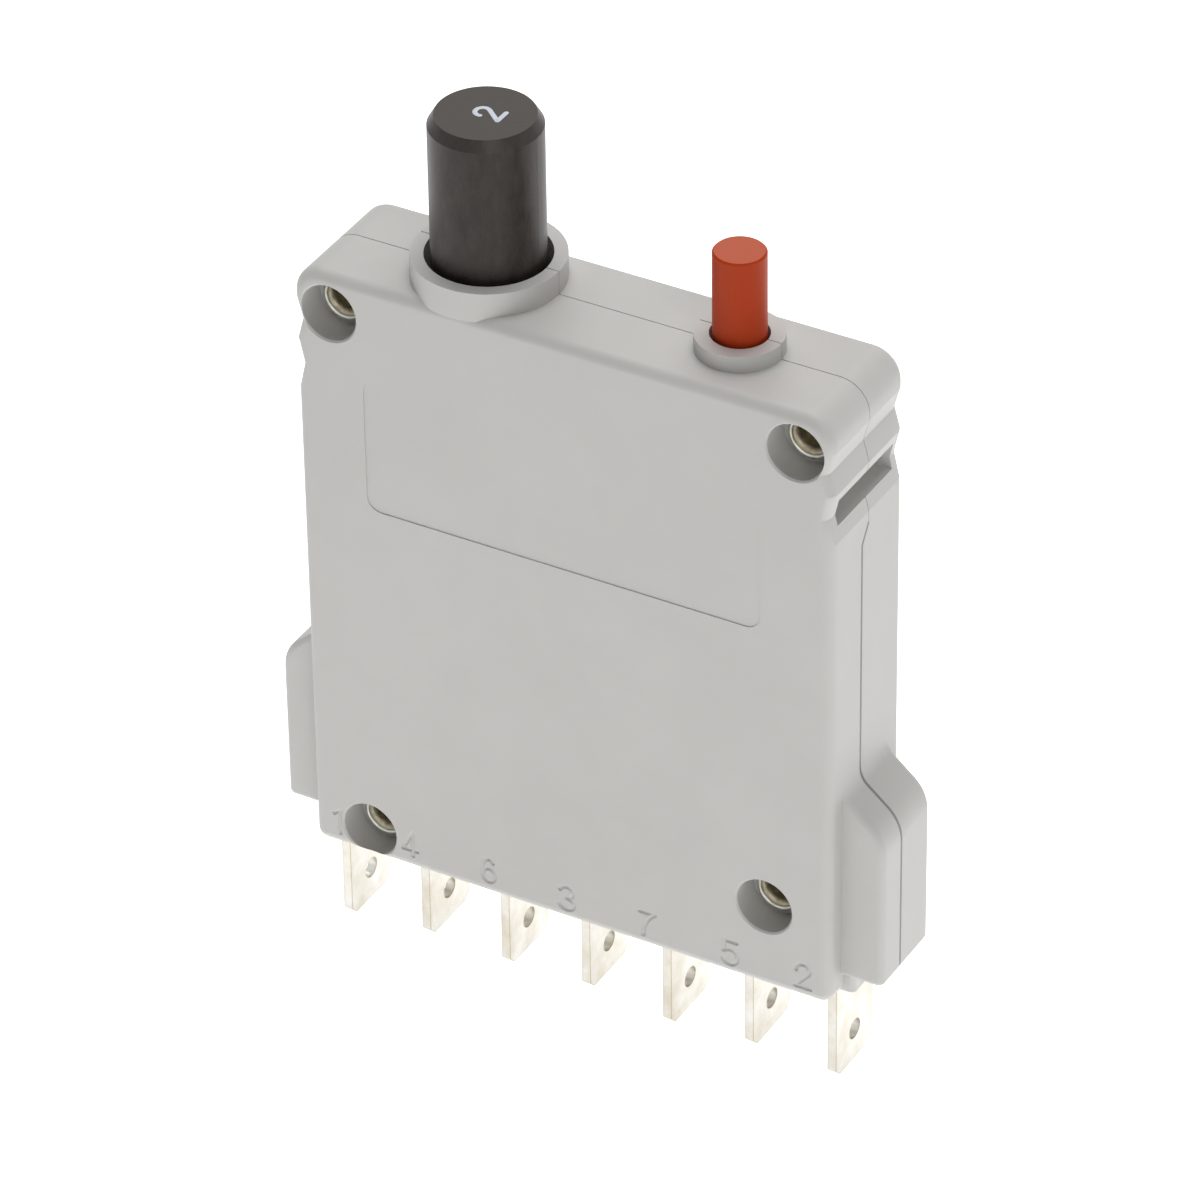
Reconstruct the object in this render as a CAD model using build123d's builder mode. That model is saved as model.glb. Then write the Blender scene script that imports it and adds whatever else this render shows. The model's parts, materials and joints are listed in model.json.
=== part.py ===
# Plug-in thermal circuit breaker: press-to-reset button, manual release button, seven tab terminals.
# Frame: X along the terminal row, Y from the front face to the back face, Z up, in millimetres.
# Origin: centre of the housing's base, where it seats on its socket. Pose: tripped, both buttons out.

import math
import os

from build123d import *

# Housing, outside
width = 48.1
height = 56.0
depth = 12.0
edge_radius = 1.0
top_corner_radius = 2.6
base_corner_radius = 1.0
panel_width = 35.6
panel_height = 12.5
panel_below_top = 15.0
panel_corner_radius = 1.3
panel_sink = 0.08

# Finger grooves and snap slots in both side walls
groove_drop = 3.2
upper_groove_height = 3.85
lower_groove_height = 4.55
groove_sink = 0.52
slot_height = 2.4
slot_length = 9.0
slot_sink = 2.4
slot_below_ridge = 0.9

# Guide lugs and the base step on both sides
lug_reach = 3.75
lug_depth = 8.0
lug_base_z = 1.8
lug_corner_z = 16.5
lug_root_z = 19.7
lug_crown_radius = 3.6
lug_root_radius = 2.0
lug_edge_radius = 0.6
step_reach = 0.9
step_corner_radius = 0.5

# Housing, inside
face_wall = 1.5
side_wall = 1.4
base_thick = 3.4
head_block = 9.2
head_side = 4.25
shoulder_drop = 3.2
core_wall = 1.6
pocket_wall = 1.0
shelf_thick = 1.5
shelf_above_bar = 0.9

# Parting surface between the shells
parting_top_y = 0.1
parting_low_y = -0.95
parting_bend_drop = 12.6
parting_bend_height = 1.6
seam_top_width = 0.08
seam_low_width = 0.28
seam_sink = 0.35

# Housing rivets: distance of each from the side and from the base or top, and their counterbores
rivet_top_inset = 3.25
rivet_top_drop = 3.7
rivet_left_inset = 5.35
rivet_left_z = 2.6
rivet_right_inset = 5.95
rivet_right_z = 8.0
counterbore_radius = 2.49
counterbore_sink = 3.0
counterbore_lip = 0.15
boss_wall = 0.9
rivet_shank_radius = 1.45
rivet_bore_radius = 1.1
rivet_bore_depth = 1.7
rivet_flange_radius = 1.95
rivet_flange_thick = 0.55
rivet_roll = 0.2
rivet_flare = 0.45

# Reset button
reset_from_side = 14.55
reset_radius = 4.6
reset_show = 14.7
reset_travel = 5.5
reset_chamfer = 0.55
reset_chamfer_drop = 0.9
reset_collar_radius = 6.24
reset_collar_show = 2.1
reset_gap = 0.52
flange_thick = 3.0
flange_left = 9.5
flange_right = 5.5
stem_width = 5.4
catch_width = 1.8
catch_depth = 4.2

# Release button
release_from_side = 11.25
release_radius = 2.15
release_show = 8.9
release_travel = 2.4
release_collar_radius = 3.6
release_collar_show = 1.45
release_gap = 0.25
release_flange_radius = 3.4
release_flange_thick = 1.5
release_stem_radius = 1.5
release_foot_radius = 0.3
release_foot_taper = 1.2
release_edge = 0.15
release_shelf_width = 7.6
release_spring_height = 6.5

# Clearances
slide_gap = 0.3
air_gap = 0.1
push_gap = 0.15
pin_gap = 0.05
slot_gap = 0.05
cut_past = 1.0
same_place = 0.01

# Terminals: tabs of 6.3 by 0.8, number printed beside each, and how far each tab stands out
row_margin = 0.79
tab_width = 6.3
tab_thick = 0.8
tab_hole_radius = 0.9
tab_hole_from_tip = 3.2
tab_corner = 0.9
tab_lead = 0.2
terminal_names = ["1", "4", "6", "3", "7", "5", "2"]
tab_lengths = [9.7, 9.1, 9.4, 9.1, 10.0, 9.4, 9.7]
root_height = 4.6
short_root_height = 1.0
weld_above_base = 1.5
anchor_reach = 0.75
anchor_height = 1.4
anchor_z = 1.3

# Main contacts and current path
strip_thick = 0.8
strip_width = 4.0
strip_bend = 0.6
contact_level = 15.6
contact_radius = 1.5
contact_height = 0.9
contact_spread = 3.8
strip_setback = 1.5
tap_reach = 3.0
bar_thick = 1.0
bar_overhang = 1.7
overtravel = 0.8
contact_spring_height = 4.4
post_radius = 1.2
post_head_radius = 1.9
post_head_thick = 0.7

# Bimetal
bimetal_thick = 0.8
bimetal_slit = 1.0
bimetal_above = 3.0
bimetal_tip_from_pivot = 2.2
bimetal_end_gap = 1.5
bimetal_bridge = 2.6
clamp_length = 2.6

# Latch lever
pivot_from_reset = 12.5
pivot_above = 5.5
pin_radius = 0.8
hub_radius = 1.6
pin_boss_radius = 1.5
lever_thick = 2.2
column_width = 1.4
nose_height = 2.0
nose_above_stem = 4.0
nose_gap = 0.3
catch_margin = 0.4
arm_above_pivot = 4.0
arm_height = 2.0
arm_end = 1.5
finger_height = 1.2
finger_reach = 2.8
finger_gap = 0.4
spring_arm_reach = 4.8
spring_arm_height = 1.2
latch_spring_height = 6.2
latch_spring_from_pivot = 3.5
latch_spring_margin = 0.35
screw_radius = 0.7
screw_reach = 1.4
screw_proud = 0.05
screw_length = 1.5

# Signal slider and signal contacts
lane_gap = 0.35
slider_travel = 1.0
slider_bar_width = 2.6
slider_bar_from_ramp = 2.5
slider_foot_above_base = 8.6
slider_foot_height = 2.4
ramp_above_stem = 5.0
ramp_from_catch = 0.4
follower_rise = 1.2
peg_radius = 0.8
leaf_thick = 0.3
leaf_height = 7.5
leaf_foot_gap = 0.1
signal_jog = 1.5
signal_low_jog = 2.25
signal_strip_thick = 0.5
signal_strip_gap = 2.84
signal_contact_radius = 0.9
signal_contact_height = 0.45
signal_contact_drop = 1.0

# Springs: wire diameter, mean radius and turns
reset_spring_wire, reset_spring_radius, reset_spring_turns = 0.6, 2.4, 5
release_spring_wire, release_spring_radius, release_spring_turns = 0.5, 2.2, 4
contact_spring_wire, contact_spring_radius, contact_spring_turns = 0.45, 1.85, 3
latch_spring_wire, latch_spring_radius, latch_spring_turns = 0.35, 1.15, 4

# Pitch of the terminal row
tab_pitch = (width - tab_thick - 2 * row_margin) / (len(terminal_names) - 1)


def tab_x(name):
    """Middle of the terminal with this number, along the row."""
    return (terminal_names.index(name) - (len(terminal_names) - 1) / 2) * tab_pitch


# Places worked out from the sizes above
half_width = width / 2
half_depth = depth / 2
room_half = half_depth - face_wall
room_side = half_width - side_wall
roof_z = height - head_block
shoulder_z = roof_z - shoulder_drop
groove_top_z = height - groove_drop
ridge_z = groove_top_z - upper_groove_height
groove_end_z = ridge_z - lower_groove_height
panel_middle_z = height - panel_below_top
parting_bend_top_z = height - parting_bend_drop
parting_bend_low_z = parting_bend_top_z - parting_bend_height
rivet_top_x = half_width - rivet_top_inset
rivet_top_z = height - rivet_top_drop
rivet_left_x = rivet_left_inset - half_width
rivet_right_x = half_width - rivet_right_inset
rivets = [
    (-rivet_top_x, rivet_top_z),
    (rivet_top_x, rivet_top_z),
    (rivet_left_x, rivet_left_z),
    (rivet_right_x, rivet_right_z),
]
boss_radius = counterbore_radius + boss_wall
rivet_seat_y = half_depth - counterbore_sink

reset_x = reset_from_side - half_width
release_x = half_width - release_from_side
pivot_x = reset_x + pivot_from_reset

flange_top_z = roof_z - slide_gap
flange_low_z = flange_top_z - flange_thick
strip_top_z = base_thick + contact_level
strip_middle_z = strip_top_z - strip_thick / 2
fixed_top_z = strip_top_z + contact_height
open_gap = reset_travel - overtravel + air_gap
bar_low_z = fixed_top_z + open_gap + contact_height
bar_top_z = bar_low_z + bar_thick
stem_low_z = bar_top_z + contact_spring_height
stem_left_x = reset_x - stem_width / 2
stem_right_x = reset_x + stem_width / 2
catch_x = stem_right_x + catch_width
nose_low_z = stem_low_z + nose_above_stem
catch_top_z = nose_low_z + reset_travel - catch_margin
shelf_top_z = bar_top_z + shelf_above_bar + shelf_thick
reset_spring_x = (reset_x - flange_left + stem_left_x) / 2 - slide_gap
strip_half = strip_width / 2

release_flange_top_z = roof_z - slide_gap
release_flange_low_z = release_flange_top_z - release_flange_thick
release_shelf_z = release_flange_low_z - release_spring_height

pivot_z = strip_top_z + pivot_above
arm_low_z = pivot_z + arm_above_pivot - arm_height
arm_top_z = pivot_z + arm_above_pivot
bimetal_low_z = strip_top_z + bimetal_above
finger_top_z = bimetal_low_z - finger_gap
bimetal_tip_x = pivot_x + bimetal_tip_from_pivot
finger_end_x = bimetal_tip_x + finger_reach
screw_x = bimetal_tip_x + screw_reach
latch_spring_x = pivot_x - latch_spring_from_pivot
lever_half = lever_thick / 2
lever_reach = release_x - pivot_x
spring_arm_top_z = pivot_z + spring_arm_height / 2
peg_low_z = spring_arm_top_z + latch_spring_height

slider_front_y = strip_half + lane_gap
slider_back_y = room_half - push_gap
slider_foot_z = base_thick + slider_foot_above_base
slider_thick = slider_back_y - slider_front_y
ramp_x = catch_x + ramp_from_catch
slider_bar_x = ramp_x + slider_bar_from_ramp
ramp_slope = slider_travel / reset_travel
ramp_low_z = stem_low_z + ramp_above_stem
follower_low_z = ramp_low_z - reset_travel
follower_top_z = ramp_low_z + follower_rise
foot_middle_z = slider_foot_z + slider_foot_height / 2
root_top_z = base_thick + root_height
weld_low_z = base_thick + weld_above_base
load_x = tab_x("2") - (tab_thick + strip_thick) / 2
bimetal_end_x = load_x - strip_thick / 2 - bimetal_end_gap
clamp_x = bimetal_end_x - clamp_length
leaf_low_z = root_top_z + leaf_foot_gap
signal_contact_z = leaf_low_z + leaf_height - signal_contact_drop


def lane(y):
    """Plane parallel to the front face at depth y. Extruding by a positive amount goes frontwards."""
    return Plane.XZ.offset(-y)


def ramp_edge(z, gap=0.0):
    """X of the reset button's ramp at height z, with a gap to its right."""
    return ramp_x + ramp_slope * (z - ramp_low_z) + gap


def bent_strip(points, thickness, y_front, y_back, bend=strip_bend):
    """Metal strip bent along a path across the housing, as wide as from y_front to y_back."""
    with BuildPart() as strip:
        with BuildSketch(lane(y_back)):
            with BuildLine():
                FilletPolyline(*points, radius=bend)
            trace(line_width=thickness)
        extrude(amount=y_back - y_front)
    return strip


def block(x_low, x_high, y_low, y_high, z_low, z_high, mode=Mode.ADD):
    """Box between two corners, put into the part that is being built."""
    with Locations((x_low, y_low, z_low)):
        Box(x_high - x_low, y_high - y_low, z_high - z_low, align=(Align.MIN,) * 3, mode=mode)


def coil_spring(x, z_low, z_high, wire, radius, turns):
    """Compression spring standing on z_low and reaching z_high."""
    rise = z_high - z_low - wire
    with BuildPart() as spring:
        with BuildLine() as coil:
            Helix(pitch=rise / turns, height=rise, radius=radius, center=(x, 0, z_low + wire / 2))
        with BuildSketch(Plane(origin=coil.line @ 0, z_dir=coil.line % 0)):
            RegularPolygon(wire / 2, 4)
        sweep(is_frenet=True)
    return spring


# Housing: outer form
with BuildPart() as lug_pair:
    with BuildSketch(lane(lug_depth / 2)) as lug_profile:
        with BuildLine():
            lug_edge = FilletPolyline(
                (half_width, lug_root_z + lug_crown_radius),
                (half_width, lug_root_z),
                (half_width + lug_reach, lug_corner_z),
                (half_width + lug_reach, lug_base_z),
                (half_width - side_wall, lug_base_z),
                radius=[lug_root_radius, lug_crown_radius, lug_edge_radius],
            )
            Line(lug_edge @ 1, (half_width - side_wall, lug_root_z + lug_crown_radius))
            Line((half_width - side_wall, lug_root_z + lug_crown_radius), lug_edge @ 0)
        make_face()
    extrude(amount=lug_depth)
    lug_rims = lug_pair.edges().filter_by_position(
        Axis.X, half_width + lug_edge_radius, half_width + lug_reach + cut_past
    )
    fillet(
        lug_rims.filter_by(lambda edge: abs(abs(edge.center().Y) - lug_depth / 2) < same_place),
        lug_edge_radius,
    )
    step_half = lug_depth / 2 - lug_edge_radius
    block(
        half_width - side_wall, half_width + step_reach, -step_half, step_half, 0, lug_base_z
    )
    step_corners = lug_pair.edges().filter_by(Axis.Z).group_by(Axis.Z)[0]
    fillet(step_corners.group_by(Axis.X)[-1], step_corner_radius)
    mirror(about=Plane.YZ)

with BuildPart() as housing_form:
    with BuildSketch(lane(half_depth)) as housing_profile:
        with BuildLine():
            housing_side = FilletPolyline(
                (0, 0),
                (half_width, 0),
                (half_width, groove_end_z),
                (half_width - groove_sink, (groove_end_z + ridge_z) / 2),
                (half_width, ridge_z),
                (half_width - groove_sink, (ridge_z + groove_top_z) / 2),
                (half_width, groove_top_z),
                (half_width, height),
                (0, height),
                radius=[base_corner_radius, 0, 0, 0, 0, 0, top_corner_radius],
            )
            mirror(housing_side, about=Plane.YZ)
        make_face()
    extrude(amount=depth)
    fillet(
        housing_form.edges().filter_by(
            lambda edge: abs(abs(edge.center().Y) - half_depth) < same_place
        ),
        edge_radius,
    )
    add(lug_pair.part)
    for x, radius, show in (
        (reset_x, reset_collar_radius, reset_collar_show),
        (release_x, release_collar_radius, release_collar_show),
    ):
        with BuildSketch(Plane.XY.offset(height - edge_radius / 2)):
            with Locations((x, 0)):
                Circle(radius)
        extrude(amount=show + edge_radius / 2)

# Housing: the room for the mechanism
with BuildPart() as room:
    with BuildSketch(lane(room_half)):
        with BuildLine():
            Polyline(
                (-room_side, base_thick),
                (room_side, base_thick),
                (room_side, shoulder_z),
                (half_width - head_side, shoulder_z),
                (half_width - head_side, roof_z),
                (head_side - half_width, roof_z),
                (head_side - half_width, shoulder_z),
                (-room_side, shoulder_z),
                close=True,
            )
        make_face()
        with Locations((rivet_left_x, rivet_left_z), (rivet_right_x, rivet_right_z)):
            Circle(boss_radius, mode=Mode.SUBTRACT)
        with Locations((-room_side, shelf_top_z)):
            Rectangle(
                room_side + stem_left_x - slide_gap * 2, shelf_thick,
                align=(Align.MIN, Align.MAX), mode=Mode.SUBTRACT,
            )
        with Locations((release_x, release_shelf_z)):
            Rectangle(
                release_shelf_width, shelf_thick,
                align=(Align.CENTER, Align.MAX), mode=Mode.SUBTRACT,
            )
        core_left_x = reset_x + reset_radius + reset_gap + core_wall
        core_right_x = release_x - release_radius - release_gap - core_wall
        with Locations(((core_left_x + core_right_x) / 2, (roof_z + height) / 2)):
            Rectangle(core_right_x - core_left_x, head_block - 2 * core_wall)
    extrude(amount=2 * room_half)
    open_z = height + reset_show
    for x, radius, low_z, high_z in (
        (reset_x, reset_radius + reset_gap, flange_top_z - reset_travel - slide_gap, open_z),
        (release_x, release_radius + release_gap, roof_z - slide_gap, open_z),
        (
            release_x, release_stem_radius + release_gap,
            release_shelf_z - 2 * shelf_thick, release_shelf_z,
        ),
    ):
        with BuildSketch(Plane.XY.offset(low_z)):
            with Locations((x, 0)):
                Circle(radius)
        extrude(amount=high_z - low_z)
    pocket_x = tab_x(terminal_names[-1]) + tab_thick / 2 + push_gap
    for side_sign in (-1, 1):
        low_x, high_x = sorted((side_sign * pocket_x, side_sign * (room_side - pocket_wall)))
        block(
            low_x, high_x, -tab_width / 2 - slide_gap, tab_width / 2 + slide_gap,
            base_thick, root_top_z + slide_gap,
        )
    for name in terminal_names:
        x = tab_x(name)
        half_slot = tab_thick / 2 + slot_gap
        slot_reach = tab_width / 2 + slot_gap
        block(
            x - half_slot, x + half_slot, -slot_reach, slot_reach,
            -cut_past, base_thick + short_root_height,
        )
        anchor_half = slot_reach + anchor_reach
        block(
            x - half_slot, x + half_slot, -anchor_half, anchor_half,
            anchor_z - slot_gap, anchor_z + anchor_height + slot_gap,
        )

# Housing: rivet holes, snap slots and the seam between the shells
with BuildPart() as housing_cuts:
    with BuildSketch(lane(half_depth)):
        with Locations(*rivets):
            Circle(rivet_shank_radius + pin_gap)
    extrude(amount=depth)
    for y, reach in ((-half_depth, -counterbore_sink), (half_depth, counterbore_sink)):
        with BuildSketch(lane(y)):
            with Locations(*rivets):
                Circle(counterbore_radius)
        extrude(amount=reach)
        with BuildSketch(lane(y)):
            with Locations(*rivets):
                Circle(counterbore_radius + counterbore_lip)
        extrude(amount=math.copysign(counterbore_lip, reach), taper=45)
    slot_top_z = ridge_z - slot_below_ridge
    block(
        half_width - slot_sink, half_width + cut_past, -slot_length / 2, slot_length / 2,
        slot_top_z - slot_height, slot_top_z,
    )
    block(
        -half_width - cut_past, slot_sink - half_width, -slot_length / 2, slot_length / 2,
        slot_top_z - slot_height, slot_top_z,
    )

with BuildPart() as seam:
    with BuildSketch(Plane.YZ.offset(-width)):
        with BuildLine():
            Polyline(
                (parting_low_y, -cut_past), (parting_low_y, parting_bend_low_z),
                (parting_top_y, parting_bend_top_z),
            )
        trace(line_width=seam_low_width)
        with BuildLine():
            Line((parting_top_y, parting_bend_top_z), (parting_top_y, 2 * height))
        trace(line_width=seam_top_width)
    extrude(amount=2 * width)
    with BuildSketch(lane(half_depth)):
        add(housing_profile.sketch_local)
        add(lug_profile.sketch_local)
        mirror(about=Plane.YZ)
        offset(amount=-seam_sink)
    extrude(amount=depth, mode=Mode.SUBTRACT)

with BuildPart() as front_side:
    with BuildSketch(Plane.YZ.offset(-width)):
        with BuildLine():
            Polyline(
                (-depth, -height), (parting_low_y, -height), (parting_low_y, parting_bend_low_z),
                (parting_top_y, parting_bend_top_z), (parting_top_y, 2 * height),
                (-depth, 2 * height), close=True,
            )
        make_face()
    extrude(amount=2 * width)

with BuildPart() as housing:
    add(housing_form.part)
    add(room.part, mode=Mode.SUBTRACT)
    add(housing_cuts.part, mode=Mode.SUBTRACT)
    add(seam.part, mode=Mode.SUBTRACT)
    for y_low, y_high in ((-room_half, -lever_half - pin_gap), (lever_half + pin_gap, room_half)):
        with BuildSketch(lane(y_high)):
            with Locations((pivot_x, pivot_z)):
                Circle(pin_boss_radius)
        extrude(amount=y_high - y_low)
    with BuildSketch(lane(room_half + face_wall / 2)):
        with Locations((pivot_x, pivot_z)):
            Circle(pin_radius + pin_gap)
    extrude(amount=2 * room_half + face_wall, mode=Mode.SUBTRACT)

# Front shell, with the bare panel and the post that holds the latch spring
with BuildPart() as front_shell:
    add(housing.part)
    add(front_side.part, mode=Mode.INTERSECT)
    with BuildSketch(lane(-half_depth)):
        with Locations((0, panel_middle_z)):
            RectangleRounded(panel_width, panel_height, panel_corner_radius)
    extrude(amount=-panel_sink, mode=Mode.SUBTRACT)
    peg_half = latch_spring_radius + latch_spring_margin
    block(
        latch_spring_x - peg_half, latch_spring_x + peg_half, -room_half, peg_half,
        peg_low_z, peg_low_z + shelf_thick,
    )

# Back shell, with the two rails that the signal slider runs between
rail_y = slider_front_y - air_gap
rail_left_x = stem_left_x
rail_right_x = stem_right_x
with BuildPart() as back_shell:
    add(housing.part)
    add(front_side.part, mode=Mode.SUBTRACT)
    for z in (slider_foot_z - push_gap - shelf_thick, slider_foot_z + slider_foot_height + push_gap):
        block(rail_left_x, rail_right_x, rail_y, room_half, z, z + shelf_thick)

# Housing rivets: flat head at the back, blind bore and rolled rim at the front
with BuildPart() as rivet:
    rim_y = -rivet_seat_y - rivet_flange_thick
    head_y = rivet_seat_y + rivet_flange_thick
    with BuildSketch(Plane.XY):
        with BuildLine():
            Polyline(
                (0, rim_y + rivet_bore_depth),
                (rivet_bore_radius, rim_y + rivet_bore_depth),
                (rivet_bore_radius, rim_y + rivet_flare),
                (rivet_flange_radius - 2 * rivet_roll, rim_y),
                (rivet_flange_radius - rivet_roll, rim_y),
                (rivet_flange_radius, rim_y + rivet_roll),
                (rivet_flange_radius, -rivet_seat_y),
                (rivet_shank_radius, -rivet_seat_y),
                (rivet_shank_radius, rivet_seat_y),
                (rivet_flange_radius, rivet_seat_y),
                (rivet_flange_radius, head_y),
                (0, head_y),
                close=True,
            )
        make_face()
    revolve(axis=Axis.Y)

with BuildPart() as housing_rivets:
    with Locations(*[(x, 0, z) for x, z in rivets]):
        add(rivet.part)

# Reset button: round head, stop flange, square stem with the latch catch, ramp and contact post
with BuildPart() as reset_button:
    reset_top_z = height + reset_show
    half_stem = room_half - slide_gap
    with BuildSketch(lane(0)):
        with BuildLine():
            Polyline(
                (reset_x, flange_top_z), (reset_x + reset_radius, flange_top_z),
                (reset_x + reset_radius, reset_top_z - reset_chamfer_drop),
                (reset_x + reset_radius - reset_chamfer, reset_top_z), (reset_x, reset_top_z),
                close=True,
            )
        make_face()
    revolve(axis=Axis((reset_x, 0, 0), (0, 0, 1)))
    block(
        reset_x - flange_left, reset_x + flange_right, -half_stem, half_stem,
        flange_low_z, flange_top_z,
    )
    block(stem_left_x, stem_right_x, -half_stem, half_stem, stem_low_z, flange_low_z)
    block(stem_right_x, catch_x, -catch_depth / 2, catch_depth / 2, stem_low_z, catch_top_z)
    with BuildSketch(lane(half_stem)):
        with BuildLine():
            Polyline(
                (stem_right_x, ramp_low_z), (ramp_edge(ramp_low_z), ramp_low_z),
                (ramp_edge(flange_low_z), flange_low_z), (stem_right_x, flange_low_z), close=True,
            )
        make_face()
    extrude(amount=half_stem - catch_depth / 2)
    post_head_top_z = bar_low_z - pin_gap
    for radius, low_z, high_z in (
        (post_radius, post_head_top_z, stem_low_z),
        (post_head_radius, post_head_top_z - post_head_thick, post_head_top_z),
    ):
        with BuildSketch(Plane.XY.offset(low_z)):
            with Locations((reset_x, 0)):
                Circle(radius)
        extrude(amount=high_z - low_z)

# Release button: round head, stop flange and the stem that presses the latch lever
with BuildPart() as release_button:
    foot_z = arm_top_z + push_gap
    release_top_z = height + release_show
    with BuildSketch(lane(0)):
        with BuildLine():
            Polyline(
                (release_x, foot_z),
                (release_x + release_foot_radius, foot_z),
                (release_x + release_stem_radius, foot_z + release_foot_taper),
                (release_x + release_stem_radius, release_flange_low_z),
                (release_x + release_flange_radius, release_flange_low_z),
                (release_x + release_flange_radius, release_flange_top_z),
                (release_x + release_radius, release_flange_top_z),
                (release_x + release_radius, release_top_z - release_edge),
                (release_x + release_radius - release_edge, release_top_z),
                (release_x, release_top_z),
                close=True,
            )
        make_face()
    revolve(axis=Axis((release_x, 0, 0), (0, 0, 1)))

# Moving contact bar with its two contacts, and the two fixed contacts under them
with BuildPart() as contact_bar:
    bar_half = contact_spread + bar_overhang
    block(reset_x - bar_half, reset_x + bar_half, -strip_half, strip_half, bar_low_z, bar_top_z)
    fillet(contact_bar.edges().filter_by(Axis.Z), strip_bend)
    with Locations((reset_x, 0, bar_top_z)):
        Hole(post_radius + air_gap)


def contact_pair(low_z):
    """Two round contacts, one each side of the reset button's middle."""
    with BuildPart() as pair:
        with BuildSketch(Plane.XY.offset(low_z)):
            with Locations((reset_x - contact_spread, 0), (reset_x + contact_spread, 0)):
                Circle(contact_radius)
        extrude(amount=contact_height)
    return pair


moving_contacts = contact_pair(bar_low_z - contact_height)
fixed_contacts = contact_pair(strip_top_z)

# Current path: line strip, feed strip to the bimetal, load strip and the tap to terminal 3
riser_x = clamp_x - slide_gap
tab_middle_z = bimetal_low_z - strip_thick / 2
line_x = tab_x("1") + (tab_thick + strip_thick) / 2
line_strip = bent_strip(
    [
        (line_x, weld_low_z), (line_x, strip_middle_z),
        (reset_x - contact_spread + strip_setback, strip_middle_z),
    ],
    strip_thick, -strip_half, strip_half,
)
feed_full = bent_strip(
    [
        (reset_x + contact_spread - strip_setback, strip_middle_z), (riser_x, strip_middle_z),
        (riser_x, tab_middle_z), (bimetal_end_x, tab_middle_z),
    ],
    strip_thick, -strip_half, strip_half,
)
with BuildPart() as feed_strip:
    add(feed_full.part)
    block(
        riser_x - strip_thick, width, -bimetal_slit / 2, strip_half,
        strip_top_z + strip_bend, bimetal_low_z, mode=Mode.SUBTRACT,
    )
load_full = bent_strip(
    [(load_x, weld_low_z), (load_x, tab_middle_z), (clamp_x + strip_thick, tab_middle_z)],
    strip_thick, -strip_half, strip_half,
)
with BuildPart() as load_strip:
    add(load_full.part)
    block(
        clamp_x, load_x - strip_thick / 2, -strip_half, bimetal_slit / 2,
        strip_top_z, bimetal_low_z, mode=Mode.SUBTRACT,
    )
tap_x = tab_x("3") + (tab_thick + strip_thick) / 2
tap_z = strip_middle_z - strip_thick
tap_strip = bent_strip(
    [(tap_x, weld_low_z), (tap_x, tap_z), (tap_x + tap_reach, tap_z)],
    strip_thick, -strip_half, strip_half,
)

# Bimetal: a fork whose two legs are welded to the feed and load strips
with BuildPart() as bimetal:
    block(
        bimetal_tip_x, bimetal_end_x, -strip_half, strip_half,
        bimetal_low_z, bimetal_low_z + bimetal_thick,
    )
    block(
        bimetal_tip_x + bimetal_bridge, width, -bimetal_slit / 2, bimetal_slit / 2,
        bimetal_low_z, bimetal_low_z + bimetal_thick, mode=Mode.SUBTRACT,
    )

# Latch lever: nose over the reset button's catch, arm under the release button, finger at the bimetal
with BuildPart() as latch_lever:
    column_left_x = pivot_x - column_width / 2
    column_right_x = pivot_x + column_width / 2
    with BuildSketch(lane(lever_half)):
        with Locations((pivot_x, pivot_z)):
            Circle(hub_radius)
        with BuildLine():
            Polyline(
                (column_left_x, pivot_z), (column_left_x, nose_low_z),
                (catch_x + nose_gap, nose_low_z), (catch_x + nose_gap, nose_low_z + nose_height / 2),
                (catch_x + nose_gap + nose_height / 2, nose_low_z + nose_height),
                (column_right_x, nose_low_z + nose_height), (column_right_x, arm_top_z),
                (release_x + arm_end, arm_top_z), (release_x + arm_end, arm_low_z),
                (column_right_x, arm_low_z), (column_right_x, pivot_z), close=True,
            )
        make_face()
        with BuildLine():
            Polyline(
                (column_left_x, pivot_z), (column_left_x, finger_top_z - finger_height),
                (finger_end_x, finger_top_z - finger_height), (finger_end_x, finger_top_z),
                (bimetal_tip_x - strip_thick, finger_top_z), (column_right_x, pivot_z), close=True,
            )
        make_face()
        with Locations((pivot_x, pivot_z)):
            Rectangle(spring_arm_reach, spring_arm_height, align=(Align.MAX, Align.CENTER))
        with Locations((pivot_x, pivot_z)):
            Circle(pin_radius + pin_gap, mode=Mode.SUBTRACT)
    extrude(amount=lever_thick)
    with BuildSketch(Plane.XY.offset(finger_top_z)):
        with Locations((screw_x, 0)):
            Circle(screw_radius)
    extrude(amount=-finger_height, mode=Mode.SUBTRACT)

with BuildPart() as latch_pin:
    pin_half = room_half + face_wall / 2 - pin_gap
    with BuildSketch(lane(pin_half)):
        with Locations((pivot_x, pivot_z)):
            Circle(pin_radius)
    extrude(amount=2 * pin_half)

with BuildPart() as calibration_screw:
    with BuildSketch(Plane.XY.offset(finger_top_z + screw_proud)):
        with Locations((screw_x, 0)):
            Circle(screw_radius)
    extrude(amount=-screw_length)

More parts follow.
